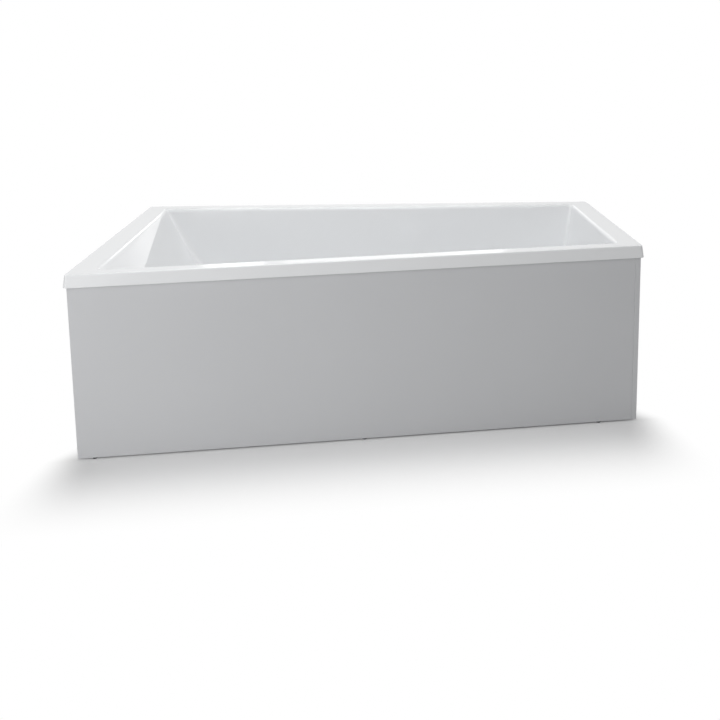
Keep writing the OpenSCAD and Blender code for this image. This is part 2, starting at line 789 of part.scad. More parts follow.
// Overflow set, round its own axis
overflow_body_r = 34;
overflow_neck_r = 26;
overflow_wall = 3;
port_axis = -26;
cover_r = 33;
cover_t = 2.5;
flange_out_r = 22.9;
flange_in_r = 19;
flange_l = 14;
hub_out_r = 7;
hub_l = 8;
web_w = 3;
web_h = 6;
spindle_r = 4;
module overflow_flange() {
    color("gainsboro") at_overflow() difference() {
        union() {
            translate([0, 0, run_gap]) cylinder(r = cover_r, h = cover_t);
            translate([0, 0, -flange_l]) cylinder(r = flange_out_r, h = flange_l + run_gap);
        }
        difference() {
            translate([0, 0, -flange_l - cut]) cylinder(r = flange_in_r, h = flange_l + cover_t + 2 * cut);
            translate([0, 0, -hub_l]) cylinder(r = hub_out_r, h = hub_l);
            for (a = [30, 150, 270]) rotate([0, 0, a]) translate([0, -web_w / 2, -hub_l])
                cube([flange_in_r + cut, web_w, web_h]);
        }
        translate([0, 0, -flange_l - cut])
            cylinder(r = spindle_r + run_gap, h = flange_l + cover_t + 2 * cut);
    }
}
module overflow_gasket() {
    color("black") at_overflow() ring(overflow_body_r, overflow_neck_r + 0.5, body_front, gasket_t);
}
neck_l = 7;
gland_x = 21;
gland_r = 4.5;
gland_bore_r = 1.2;
gland_end = 42;
hose_stub_end = 62;
// Distances from the axis at which the body's stubs and their bores begin
stub_from = 20;
stub_bore_from = 10;
module overflow_body() {
    color("whitesmoke") at_overflow() difference() {
        union() {
            translate([0, 0, body_front - body_h]) cylinder(r = overflow_body_r, h = body_h);
            translate([0, 0, body_front - cut]) cylinder(r = overflow_neck_r, h = neck_l + cut);
            translate([0, stub_from, port_axis]) rotate([-90, 0, 0])
                cylinder(r = port_r, h = hose_stub_end - stub_from);
            translate([gland_x, stub_from, port_axis]) rotate([-90, 0, 0])
                cylinder(r = gland_r, h = gland_end - stub_from);
        }
        translate([0, 0, body_front - body_h + overflow_wall])
            cylinder(r = overflow_body_r - overflow_wall, h = body_h - 2 * overflow_wall);
        translate([0, 0, body_front - overflow_wall - cut])
            cylinder(r = flange_out_r + fit_gap, h = 2 * neck_l);
        translate([0, stub_bore_from, port_axis]) rotate([-90, 0, 0])
            cylinder(r = port_in_r, h = hose_stub_end);
        translate([gland_x, stub_bore_from, port_axis]) rotate([-90, 0, 0])
            cylinder(r = gland_bore_r, h = gland_end);
    }
}

spindle_low = body_front - body_h + 5;
knob_low = 8;
knob_top = 24;
knob_skin = 3;
knob_hub_r = 8;
knob_hub_drop = 2;
drum_r = 13;
drum_h = 5;
wire_r = 9;
module knob_spindle() {
    color("silver") at_overflow() translate([0, 0, spindle_low])
        cylinder(r = spindle_r, h = knob_top - knob_skin - cut - run_gap - spindle_low);
}
module cable_drum() {
    color("dimgray") at_overflow() difference() {
        translate([0, 0, spindle_low]) cylinder(r = drum_r, h = drum_h);
        translate([0, 0, spindle_low - cut]) cylinder(r = spindle_r + run_gap, h = drum_h + 2 * cut);
        translate([wire_r, 0, spindle_low - cut]) cylinder(r = gland_bore_r, h = drum_h + 2 * cut);
    }
}
grip_w = 11;
grip_h = 6;
grip_end = 10;
knob_screw_r = 2;
knob_head_r = 4;
knob_head_h = 3;
module control_knob() {
    color("gainsboro") at_overflow() difference() {
        union() {
            difference() {
                rotate_extrude() polygon([
                    [0, knob_low], [knob_r, knob_low], [knob_r, knob_top - knob_skin],
                    [knob_r - knob_skin, knob_top], [0, knob_top]
                ]);
                translate([0, 0, knob_low - cut])
                    cylinder(r = knob_r - knob_skin, h = knob_top - knob_low - knob_skin + cut);
            }
            translate([0, 0, knob_low - knob_hub_drop]) cylinder(r = knob_hub_r, h = knob_top - knob_low);
            translate([0, 0, knob_top - cut]) linear_extrude(grip_h + cut) {
                square([grip_w, 2 * (knob_r - grip_end)], center = true);
                for (s = [-1, 1]) translate([0, s * (knob_r - grip_end)]) circle(r = grip_w / 2);
            }
        }
        translate([0, 0, knob_low - knob_hub_drop - cut])
            cylinder(r = spindle_r + run_gap, h = knob_top - knob_skin - knob_low + knob_hub_drop);
        translate([0, 0, knob_low]) cylinder(r = knob_screw_r, h = knob_top);
        translate([0, 0, knob_top + grip_h - knob_head_h]) cylinder(r = knob_head_r, h = 2 * knob_head_h);
    }
}
module knob_screw() {
    color("silver") at_overflow() {
        translate([0, 0, knob_top + grip_h - knob_head_h])
            cylinder(r = knob_head_r - 4 * run_gap, h = knob_head_h - cut / 2);
        translate([0, 0, knob_top - knob_skin - cut]) cylinder(r = knob_screw_r, h = grip_h + cut);
    }
}

// Points of a smooth curve through chosen places, n steps to each stretch
function curve_point(a, b, c, d, s) =
    0.5 * (2 * b + (c - a) * s + (2 * a - 5 * b + 4 * c - d) * s * s + (3 * b - a - 3 * c + d) * s * s * s);
function smooth(pts, n) =
    let (k = len(pts), full = concat([2 * pts[0] - pts[1]], pts, [2 * pts[k - 1] - pts[k - 2]]))
    concat(
        [for (i = [0:k - 2], j = [0:n - 1])
            curve_point(full[i], full[i + 1], full[i + 2], full[i + 3], j / n)],
        [pts[k - 1]]
    );

// Rings of radius radii[i] round a curve that stays near the plane square to X
function tube_rings(curve, radii, sides) =
    let (k = len(curve))
    [for (i = [0:k - 1])
        let (
            t = unit(curve[min(i + 1, k - 1)] - curve[max(i - 1, 0)]),
            u = unit(cross(t, [1, 0, 0])),
            v = cross(t, u)
        )
        [for (j = [0:sides - 1]) let (a = 360 * (j + 0.5) / sides)
            curve[i] + (u * cos(a) + v * sin(a)) * radii[i]]];

// Overflow hose: ribbed between two plain cuffs, from the overflow's stub down behind the front
// wall, round a quarter of an ellipse under the basin, and level into the waste's port
hose_sides = 8;
hose_step = 10;
hose_wall = 1.6;
rib_h = 1.4;
hose_in = (port_r + fit_gap) / cos(180 / hose_sides);
hose_valley = hose_in + hose_wall;
hose_crest = hose_valley + rib_h;
hose_turn_h = 110;
hose_level = 92;
hose_drop = [40, 80, 120];
hose_top = on_overflow(0, hose_drop[2], port_axis);
hose_turn_z = port_z + hose_turn_h;
hose_turn_y = waste_y - port_end - hose_level;
hose_pts = concat(
    [for (y = hose_drop) on_overflow(0, y, port_axis)],
    [for (i = [1:3]) [waste_x, hose_top[1], hose_top[2] + (hose_turn_z - hose_top[2]) * i / 3]],
    [for (a = [18:18:90]) [
        waste_x,
        hose_top[1] + (hose_turn_y - hose_top[1]) * (1 - cos(a)),
        hose_turn_z - hose_turn_h * sin(a)
    ]],
    [for (y = [waste_y - port_end - hose_level / 2, waste_y - port_end - 8, waste_y - body_r - 6])
        [waste_x, y, port_z]]
);
module overflow_hose() {
    line = smooth(hose_pts, hose_step);
    k = len(line);
    cuff = hose_step;
    outer = [for (i = [0:k - 1])
        (i < cuff || i > k - 1 - cuff) ? hose_valley : (i % 2 == 0) ? hose_valley : hose_crest];
    bore_line = smooth(hose_pts, 3);
    bore = [for (p = bore_line) hose_in];
    color("lightgray") skin(
        concat(tube_rings(line, outer, hose_sides), reversed(tube_rings(bore_line, bore, hose_sides))),
        looped = true
    );
}
clamp_t = 1.5;
clamp_w = 9;
clamp_in = 6;
module hose_clamp() {
    ring(hose_valley + fit_gap + clamp_t, hose_valley + fit_gap, 0, clamp_w);
}
module hose_clamps() {
    color("silver") {
        at_overflow() translate([0, hose_drop[0] + clamp_in, port_axis]) rotate([-90, 0, 0]) hose_clamp();
        translate([waste_x, waste_y - body_r - 2 * clamp_in, port_z]) rotate([90, 0, 0]) hose_clamp();
    }
}

// Pull cable in its sheath, from the fitting under the waste, forward in a wide turn under the
// basin, up behind the front panel and into the overflow's gland
cable_r = 2.5;
// Gap between the cable's ends and the fitting and gland that hold them
cable_gap = 0.2;
cable_drop = 22;
cable_low = fitting_low - cable_drop;
cable_turn_h = 200;
cable_level = 110;
// How far the cable swings out along X, on its way and at the top of its turn
cable_out = 22;
cable_swing = 18;
cable_in = 8;
gland_p = on_overflow(gland_x, gland_end + cable_gap, port_axis);
cable_y = gland_p[1] - cable_in;
cable_top = [waste_x + cable_out + cable_swing, cable_y, cable_low + cable_turn_h];
cable_turn_y = waste_y - cable_level;
cable_pts = concat(
    [for (p = [[0, 0, -cable_gap], [0, 0, -7], [1, -7, -17], [4, -24, 1 - cable_drop],
        [12, -60, -cable_drop]])
        [waste_x, waste_y, fitting_low] + p],
    [for (a = [0:15:90]) [
        waste_x + cable_out + cable_swing * sin(a),
        cable_turn_y + (cable_y - cable_turn_y) * sin(a),
        cable_low + cable_turn_h * (1 - cos(a))
    ]],
    [for (i = [1:2]) cable_top +
        [(gland_p[0] - cable_top[0]) * i / 3, 0, (gland_p[2] - cable_top[2]) * i / 3]],
    [on_overflow(gland_x, gland_end + 10, port_axis), gland_p]
);
module bowden_cable() {
    line = smooth(cable_pts, 4);
    color("black") skin(tube_rings(line, [for (p = line) cable_r], 8));
}

// Trap: one moulded bend with its inlet and outlet held by union nuts, then the outlet pipe
bend_r = 30;
rise_r = 22;
trap_seal_t = 1;
bend_y = outlet_end + trap_seal_t;
inlet_run = 9;
outlet_run = 10;
leg_z = port_z - bend_r;
out_z = leg_z + rise_r;
bend_end_y = bend_y + inlet_run + 3 * bend_r + rise_r + outlet_run;
pipe_y = bend_end_y + trap_seal_t;
nut_out_r = joint_r + 3.5;
nut_len = 20;
nut_ribs = 12;
nut_rib_w = 4;
nut_rib_h = 2;
// The outlet pipe has a thicker end inside its union nut
collar_l = 12;

// Solid of the bend's centre line with a pipe of radius r, and e longer at both ends
module bend_solid(r, e) {
    translate([0, bend_y - e, port_z]) rotate([-90, 0, 0]) cylinder(r = r, h = inlet_run + e);
    translate([0, bend_y + inlet_run, port_z - bend_r]) rotate([0, 90, 0]) rotate([0, 0, 90])
        rotate_extrude(angle = 90) translate([bend_r, 0]) circle(r = r);
    translate([0, bend_y + inlet_run + 2 * bend_r, leg_z]) rotate([0, 90, 0]) rotate([0, 0, -90])
        rotate_extrude(angle = 180) translate([bend_r, 0]) circle(r = r);
    translate([0, bend_y + inlet_run + 3 * bend_r + rise_r, leg_z]) rotate([0, 90, 0]) rotate([0, 0, 180])
        rotate_extrude(angle = 90) translate([rise_r, 0]) circle(r = r);
    translate([0, bend_y + inlet_run + 3 * bend_r + rise_r, out_z]) rotate([-90, 0, 0])
        cylinder(r = r, h = outlet_run + e);
}
module trap_bend() {
    color("whitesmoke") at_waste() difference() {
        bend_solid(joint_r, 0);
        bend_solid(outlet_r - outlet_t, cut);
    }
}
module pipe_seal(y, z) {
    color("black") at_waste() translate([0, y, z]) rotate([-90, 0, 0])
        ring(joint_r, outlet_r - outlet_t, 0, trap_seal_t);
}
module union_nut(y, z) {
    color("whitesmoke") at_waste() translate([0, y - nut_len / 2, z]) rotate([-90, 0, 0]) difference() {
        union() {
            cylinder(r = nut_out_r, h = nut_len);
            for (i = [0:nut_ribs - 1]) rotate([0, 0, i * 360 / nut_ribs])
                translate([nut_out_r - cut, -nut_rib_w / 2, nut_rib_h])
                    cube([nut_rib_h + cut, nut_rib_w, nut_len - 2 * nut_rib_h]);
        }
        translate([0, 0, -cut]) cylinder(r = joint_r + fit_gap, h = nut_len + 2 * cut);
    }
}
module trap_inlet_nut() { union_nut(outlet_end, port_z); }
module trap_inlet_seal() { pipe_seal(outlet_end, port_z); }
module trap_outlet_nut() { union_nut(bend_end_y, out_z); }
module trap_outlet_seal() { pipe_seal(bend_end_y, out_z); }
module outlet_pipe() {
    color("whitesmoke") translate([waste_x, waste_y + pipe_y, out_z]) rotate([-90, 0, 0]) {
        ring(outlet_r, outlet_r - outlet_t, 0, back_y - outlet_back - waste_y - pipe_y);
        ring(joint_r, outlet_r - outlet_t, 0, collar_l);
    }
}

tub_shell();
base_board();
rim_batten_front();
rim_batten_right();
rim_batten_back();
rim_batten_left();
leg_rail_left();
leg_rail_right();
rail_screws();
rail_nuts();
lock_nuts();
foot_rod(0);  // foot_rod_1
foot_rod(1);  // foot_rod_2
foot_rod(2);  // foot_rod_3
foot_rod(3);  // foot_rod_4
foot_pad(0);  // foot_pad_1
foot_pad(1);  // foot_pad_2
foot_pad(2);  // foot_pad_3
foot_pad(3);  // foot_pad_4
foot_sole(0);  // foot_sole_1
foot_sole(1);  // foot_sole_2
foot_sole(2);  // foot_sole_3
foot_sole(3);  // foot_sole_4
front_panel();
end_panel();
panel_corner_angle();
panel_brackets_front();
panel_brackets_end();
bracket_screws();
panel_glides();
wall_brackets_back();
wall_brackets_left();
waste_flange();
flange_seal();
waste_seal();
waste_body();
plug_cap();
plug_seal();
plug_stem();
lift_rod();
cable_end_fitting();
bowden_cable();
overflow_flange();
overflow_gasket();
overflow_body();
control_knob();
knob_spindle();
cable_drum();
knob_screw();
overflow_hose();
hose_clamps();
trap_inlet_nut();
trap_inlet_seal();
trap_bend();
trap_outlet_nut();
trap_outlet_seal();
outlet_pipe();
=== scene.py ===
import json
import math

import bpy
import numpy as np
from mathutils import Matrix, Vector


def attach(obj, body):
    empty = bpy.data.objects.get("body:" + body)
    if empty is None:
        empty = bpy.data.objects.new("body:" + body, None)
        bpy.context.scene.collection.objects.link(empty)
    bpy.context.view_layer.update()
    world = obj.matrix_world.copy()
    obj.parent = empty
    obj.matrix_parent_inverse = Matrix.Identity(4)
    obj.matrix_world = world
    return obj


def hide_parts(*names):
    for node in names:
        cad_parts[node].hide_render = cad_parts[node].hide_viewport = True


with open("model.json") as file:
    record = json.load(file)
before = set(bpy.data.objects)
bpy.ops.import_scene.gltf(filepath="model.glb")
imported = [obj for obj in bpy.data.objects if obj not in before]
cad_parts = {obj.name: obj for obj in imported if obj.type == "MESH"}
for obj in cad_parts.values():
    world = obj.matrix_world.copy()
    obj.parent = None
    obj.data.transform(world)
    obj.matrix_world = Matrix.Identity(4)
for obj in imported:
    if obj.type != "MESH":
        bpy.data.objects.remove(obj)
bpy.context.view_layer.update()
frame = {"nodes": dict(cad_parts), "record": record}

# Looks of the trapezoid bathtub. Metres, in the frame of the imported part: X along the back edge,
# Y towards the back wall, Z up from the floor.
scene = bpy.context.scene
nodes = frame["nodes"]

# Driving sizes, the same as the part's own
BATH_L, WIDE_W, NARROW_W, BATH_H = 1.700, 1.000, 0.700, 0.560
SKIRT_H, SKIRT_DRAFT, RIM_EDGE_R, RIM_CORNER_R, SKIRT_IN_R = 0.038, 0.004, 0.005, 0.010, 0.0025
RIM_LEFT, RIM_BACK, RIM_RIGHT, RIM_FRONT = 0.086, 0.066, 0.073, 0.055
SHELL_T, BASIN_H, FLOOR_FALL = 0.006, 0.430, 0.006
LIP_R, COVE_R, CORNER_TOP_R, CORNER_LOW_R = 0.012, 0.062, 0.018, 0.078
SOFT_FROM, RIM_SHARE = 0.150, 0.6
BACK_SLOPE, BACK_TURN, REAR_SLOPE, FOOT_SLOPE, FRONT_SLOPE, FACET_FALL = 0.54, 0.066, 0.10, 0.15, 0.16, 0.9
WASTE_X, WASTE_Y = 0.190, 0.080
PANEL_T, PANEL_INSET, PANEL_GAP, PANEL_TUCK = 0.016, 0.008, 0.004, 0.008

SLANT = math.atan((WIDE_W - NARROW_W) / BATH_L)
TIP_CUT = RIM_CORNER_R * (math.tan(SLANT) + 1 / math.cos(SLANT) - 1)
LEFT_X, RIGHT_X = -BATH_L / 2, BATH_L / 2
BACK_Y = (WIDE_W - TIP_CUT) / 2
TIP_Y = BACK_Y - WIDE_W
ALONG = np.array([math.cos(SLANT), math.sin(SLANT)])


def front_y(x, off):
    """Y of a line set in by off from the slanted front edge, at a place along X."""
    return TIP_Y + (x - LEFT_X) * math.tan(SLANT) + off / math.cos(SLANT)


# Camera: fitted to the rim and the panel in the photograph
CAMERA_AT = (0.0328, -2.7964, 1.2126)
CAMERA_YAW, CAMERA_PITCH, CAMERA_ROLL = -0.0807, 0.1421, -0.0273
CAMERA_LENS = 42.887
CAMERA_SHIFT_X, CAMERA_SHIFT_Y = 0.0791, -0.279


def make_camera():
    """Camera that looks along a heading given by yaw and downward pitch, rolled about that heading."""
    data = bpy.data.cameras.new("camera")
    cam = bpy.data.objects.new("camera", data)
    scene.collection.objects.link(cam)
    scene.camera = cam
    data.sensor_width = 36
    data.lens = CAMERA_LENS
    data.shift_x, data.shift_y = CAMERA_SHIFT_X, CAMERA_SHIFT_Y
    data.clip_start, data.clip_end = 0.05, 60
    cy, sy = math.cos(CAMERA_YAW), math.sin(CAMERA_YAW)
    cp, sp = math.cos(CAMERA_PITCH), math.sin(CAMERA_PITCH)
    ahead = Vector((sy * cp, cy * cp, -sp))
    right = Vector((cy, -sy, 0))
    up = right.cross(ahead)
    cr, sr = math.cos(CAMERA_ROLL), math.sin(CAMERA_ROLL)
    right, up = right * cr + up * sr, up * cr - right * sr
    cam.matrix_world = Matrix.Translation(CAMERA_AT) @ Matrix((right, up, -ahead)).transposed().to_4x4()


make_camera()


def new_object(name, points, faces):
    """Mesh object of the given points and faces, with smooth faces."""
    mesh = bpy.data.meshes.new(name)
    mesh.from_pydata(points.tolist(), [], faces)
    mesh.update()
    mesh.shade_smooth()
    made = bpy.data.objects.new(name, mesh)
    scene.collection.objects.link(made)
    return made


def skin_faces(n, m, looped=False, caps=True):
    """Quads between n rings of m points each, with a face over each open end, or joined end to end."""
    i = np.arange(n if looped else n - 1)[:, None] * m
    j = np.arange(m)[None, :]
    k = (j + 1) % m
    below, above = i, (i + m) % (n * m)
    quads = np.stack([below + j, below + k, above + k, above + j], axis=-1).reshape(-1, 4).tolist()
    if caps and not looped:
        quads += [list(range(m - 1, -1, -1)), list(range((n - 1) * m, n * m))]
    return quads


def unit(v):
    """Each vector over its length."""
    return v / np.linalg.norm(v, axis=-1, keepdims=True)


def crossing(p, u, q, v):
    """Crossing of the line through p along u with the line through q along v, for arrays of lines."""
    k = ((q[..., 0] - p[..., 0]) * v[..., 1] - (q[..., 1] - p[..., 1]) * v[..., 0]) / (
        u[..., 0] * v[..., 1] - u[..., 1] * v[..., 0]
    )
    return p + u * k[..., None]


def arc_corner(before, at, after, r, steps):
    """Arc of radius r that rounds each corner: its centre lies on the bisector, r over the sine of the half
    angle away, and the points go round it from one tangent point to the other."""
    u, v = unit(before - at), unit(after - at)
    half = np.arccos(np.clip((u * v).sum(-1), -1, 1)) / 2
    centre = at + unit(u + v) * (r / np.sin(half))[..., None]
    reach = (r / np.tan(half))[..., None]
    start, end = at + u * reach, at + v * reach
    turn = np.pi - 2 * half[..., None]
    s = np.linspace(0, 1, steps + 1)
    a, b = start - centre, end - centre
    wa = np.sin((1 - s) * turn) / np.sin(turn)
    wb = np.sin(s * turn) / np.sin(turn)
    return centre[..., None, :] + a[..., None, :] * wa[..., None] + b[..., None, :] * wb[..., None]


def soft_bend(before, at, after, reach, steps):
    """Parabolic bend at each point, between places a reach away on both sides."""
    a, b = at + unit(before - at) * reach, at + unit(after - at) * reach
    s = np.linspace(0, 1, steps + 1)[:, None]
    return a[..., None, :] * (1 - s) ** 2 + at[..., None, :] * 2 * s * (1 - s) + b[..., None, :] * s**2


# Bends of the shell: the crease and its steps, and how corners soften at the back, below and in the cove
CORNER_STEPS, CREASE_STEPS, CREASE_REACH = 14, 4, 0.009
CREASE_ROOM = 0.003
CREASE_LOW, CREASE_RINGS = 0.100, 18
BACK_CORNER_SHARE, UNDER_ROUND, COVE_CORNER_FALL = 0.8, 0.5, 0.010
REST_LEAD = 0.005
REST_START = RIM_LEFT - REST_LEAD
# Rings of the floor, as shares of its outline, and the small bends at the skirt's foot
FLOOR_SHARE_IN, FLOOR_SHARE_OUT, FLOOR_RINGS = 0.24, 0.94, 7
SKIRT_FOOT_R, SKIRT_FOOT_BEVEL = 0.0018, 0.0015


def pair(x, y):
    """Points from their X and Y, for arrays of either."""
    return np.stack(np.broadcast_arrays(x, y), axis=-1)


def close_outline(bl, mid, fl, fr, br, r_back, r_front, z):
    """Level outlines through five corners, rounded, as an array of rings by points by X, Y, Z."""
    flat = np.concatenate(
        [
            arc_corner(br, bl, mid, r_back, CORNER_STEPS),
            soft_bend(bl, mid, fl, CREASE_REACH, CREASE_STEPS),
            arc_corner(mid, fl, fr, r_front, CORNER_STEPS),
            arc_corner(fl, fr, br, r_front, CORNER_STEPS),
            arc_corner(fr, br, bl, r_back, CORNER_STEPS),
        ],
        axis=1,
    )
    return np.concatenate([flat, np.broadcast_to(z[:, None, None], flat.shape[:2] + (1,))], axis=-1)


def rim_outlines(off, r, z):
    """Outlines of the rim, set in by off from the outer trapezoid."""
    off, r, z = np.broadcast_arrays(*(np.atleast_1d(np.asarray(v, float)) for v in (off, r, z)))
    left, right, back = LEFT_X + off, RIGHT_X - off, BACK_Y - off
    bl, br = pair(left, back), pair(right, back)
    fl, fr = pair(left, front_y(left, off)), pair(right, front_y(right, off))
    return close_outline(bl, (bl + fl) / 2, fl, fr, br, r, r, z)


def basin_outlines(d, push, wall, r):
    """Outlines of the basin at depths d. Each wall's place is its rim width, plus its slope times the depth,
    plus push, less the wall thickness along the slope. The left side is the nearer of the facet and the
    turned backrest, and they meet at the crease."""
    d, push, r = np.broadcast_arrays(*(np.atleast_1d(np.asarray(v, float)) for v in (d, push, r)))

    def out(slope):
        return wall * math.sqrt(1 + slope * slope)

    back_o = RIM_BACK - out(REAR_SLOPE) + REAR_SLOPE * d + push
    right = RIGHT_X - (RIM_RIGHT - out(FOOT_SLOPE) + FOOT_SLOPE * d + push)
    front_o = RIM_FRONT - out(FRONT_SLOPE) + FRONT_SLOPE * d + push
    facet_x = LEFT_X + RIM_LEFT - out(1 / FACET_FALL) + d / FACET_FALL + push
    rest_x = LEFT_X + REST_START - out(BACK_SLOPE) + BACK_SLOPE * d + push
    y0, back = BACK_Y - RIM_BACK, BACK_Y - back_o
    rest_p, rest_u = pair(rest_x, y0), pair(BACK_TURN + 0 * d, -1.0)
    across, ahead = pair(1.0 + 0 * d, 0.0), pair(ALONG[0] + 0 * d, ALONG[1])
    rest_bl = crossing(rest_p, rest_u, pair(0 * d, back), across)
    rest_fl = crossing(rest_p, rest_u, pair(LEFT_X, front_y(LEFT_X, front_o)), ahead)
    meet_y = y0 - (facet_x - rest_x) / BACK_TURN
    margin = r / math.tan(math.pi / 4 - SLANT / 2) + CREASE_REACH + CREASE_ROOM
    facet_only = (meet_y > back - margin)[:, None]
    rest_only = (meet_y < rest_fl[:, 1] + margin)[:, None]
    bl = np.where(facet_only, pair(facet_x, back), rest_bl)
    fl = np.where(rest_only, rest_fl, pair(facet_x, front_y(facet_x, front_o)))
    meet = np.where(rest_only, rest_fl + unit(rest_bl - rest_fl) * margin[:, None], pair(facet_x, meet_y))
    meet = np.where(facet_only, pair(facet_x, back - margin), meet)
    fr, br = pair(right, front_y(right, front_o)), pair(right, back)
    return close_outline(bl, meet, fl, fr, br, r * BACK_CORNER_SHARE, r, BATH_H - d)


def corner_r(d):
    """Corner radius of the basin at depth d: tight at the rim, and softer below the depth SOFT_FROM."""
    near = CORNER_TOP_R * (RIM_SHARE + (1 - RIM_SHARE) * np.minimum(1, d / SOFT_FROM))
    return near + (CORNER_LOW_R - CORNER_TOP_R) * np.maximum(0, d - SOFT_FROM) / (BASIN_H - SOFT_FROM)


def lip_outlines(wall, r, steps):
    """Parabolic roll from the rim's face into the wall."""
    s = np.linspace(0, 1, steps + 1)
    push = -r * (1 - s) ** 2
    d = wall + r * s**2
    return basin_outlines(d, push, wall, corner_r(d) - push)


def wall_outlines(wall, top, bottom, steps):
    """Even steps down the walls, with closer ones where the crease runs."""
    above, below = np.linspace(top, CREASE_LOW, CREASE_RINGS), np.linspace(CREASE_LOW, bottom, steps)
    d = np.unique(np.concatenate([above, below]))[1:-1]
    return basin_outlines(d, 0, wall, corner_r(d) + wall * UNDER_ROUND)


def cove_outlines(wall, bottom, steps):
    """Parabolic cove from the walls into the floor."""
    s = np.linspace(0, 1, steps + 1)
    d = bottom - COVE_R * (1 - s) ** 2
    r = corner_r(bottom - COVE_R) - COVE_CORNER_FALL * s**2 + wall * UNDER_ROUND
    return basin_outlines(d, COVE_R * s**2, wall, r)


def drawn_in(ring, shares, heights):
    """The floor's outline drawn in to shares of its size round the waste, each at its own height."""
    middle = np.array([WASTE_X, WASTE_Y])
    flat = middle + (ring[None, :, :2] - middle) * np.asarray(shares)[:, None, None]
    z = np.broadcast_to(np.asarray(heights)[:, None, None], flat.shape[:2] + (1,))
    return np.concatenate([flat, z], axis=-1)


def shell_outlines():
    """Rings from the middle of the floor up the basin, over the rim, down the skirt and back under it, and
    the number of those on the moulded side."""
    floor_z, edge_h = BATH_H - BASIN_H, BASIN_H - FLOOR_FALL
    cove = cove_outlines(0, edge_h, 14)
    under_cove = cove_outlines(SHELL_T, BASIN_H + SHELL_T, 10)
    shares = np.linspace(FLOOR_SHARE_IN, FLOOR_SHARE_OUT, FLOOR_RINGS)
    heights = floor_z + FLOOR_FALL * ((shares - FLOOR_SHARE_IN) / (1 - FLOOR_SHARE_IN))
    s = np.linspace(1, 0, 9)
    edge_z = BATH_H - RIM_EDGE_R * (1 - s) ** 2
    edge = rim_outlines(SKIRT_DRAFT + RIM_EDGE_R * s**2, RIM_CORNER_R, edge_z)
    skirt_z = BATH_H - SKIRT_H
    turn = np.linspace(0, 1, 5)
    lower = rim_outlines(SKIRT_FOOT_R * turn**2, RIM_CORNER_R, skirt_z + SKIRT_FOOT_R * (1 - turn) ** 2)
    inner_low = rim_outlines(
        [SHELL_T - SKIRT_FOOT_BEVEL, SHELL_T], SKIRT_IN_R, [skirt_z, skirt_z + SKIRT_FOOT_BEVEL]
    )
    moulded = np.concatenate(
        [
            drawn_in(cove[-1], shares, heights),
            cove[::-1],
            wall_outlines(0, LIP_R, edge_h - COVE_R, 16)[::-1],
            lip_outlines(0, LIP_R, 10)[::-1],
            edge,
            lower,
            inner_low,
        ]
    )
    under = [
        rim_outlines(SHELL_T + SKIRT_DRAFT, SKIRT_IN_R, BATH_H - SHELL_T),
        lip_outlines(SHELL_T, LIP_R - SHELL_T, 5),
        wall_outlines(SHELL_T, LIP_R, BASIN_H + SHELL_T - COVE_R, 10),
        under_cove,
    ]
    return np.concatenate([moulded, *under]), len(moulded)


def disc_cutter(name, r, low, high, placed):
    """Closed cylinder used only to cut a hole."""
    a = np.linspace(0, 2 * np.pi, 97)[:-1]
    ring = np.stack([r * np.cos(a), r * np.sin(a), 0 * a], axis=-1)
    points = np.concatenate([ring + [0, 0, low], ring + [0, 0, high]])
    points = points @ np.array(placed.to_3x3()).T + np.array(placed.translation)
    return new_object(name, points, skin_faces(2, 96))


def box_cutter(name, low, high):
    """Closed upright box used only to cut a notch."""
    x, y = np.array([low[0], high[0], high[0], low[0]]), np.array([low[1], low[1], high[1], high[1]])
    points = np.concatenate([np.stack([x, y, np.full(4, z)], axis=-1) for z in (low[2], high[2])])
    return new_object(name, points, skin_faces(2, 4))


def keep_modified(piece):
    """Replaces the piece's mesh by what its modifiers make of it, and takes the modifiers off."""
    done = bpy.data.meshes.new_from_object(piece.evaluated_get(bpy.context.evaluated_depsgraph_get()))
    piece.modifiers.clear()
    piece.data = done


def cut_holes(piece, cutters):
    """Cuts every cutter out of the piece, and removes the cutters."""
    for cutter in cutters:
        hole = piece.modifiers.new("hole", "BOOLEAN")
        hole.operation, hole.object, hole.solver = "DIFFERENCE", cutter, "EXACT"
    keep_modified(piece)
    for cutter in cutters:
        bpy.data.objects.remove(cutter)


def flat_normals(piece, angle=math.radians(28)):
    """Large flat faces keep their own normals, and edges sharper than the angle stay sharp."""
    piece.data.set_sharp_from_angle(angle=angle)
    weighted = piece.modifiers.new("weighted", "WEIGHTED_NORMAL")
    weighted.keep_sharp = True


# Frame of the overflow: Z square to the front wall into the basin, Y down the wall, X along it
LEAN = math.atan(FRONT_SLOPE)
OVERFLOW_D = 0.100
OVERFLOW_AT = Vector((WASTE_X, front_y(WASTE_X, RIM_FRONT + FRONT_SLOPE * OVERFLOW_D), BATH_H - OVERFLOW_D))
OVERFLOW_FRAME = (
    Matrix.Translation(OVERFLOW_AT)
    @ Matrix.Rotation(SLANT, 4, "Z")
    @ Matrix.Rotation(LEAN - math.pi / 2, 4, "X")
)
WASTE_FRAME = Matrix.Translation((WASTE_X, WASTE_Y, 0))
# Holes of the shell: radius, and the low and high end of each cut from the surface that it goes through
RECESS_R, RECESS_CUT = 0.044, (-0.003, 0.008)
WASTE_HOLE_R, WASTE_CUT = 0.026, (-0.020, 0.001)
OVERFLOW_HOLE_R, OVERFLOW_CUT = 0.027, (-0.015, 0.010)


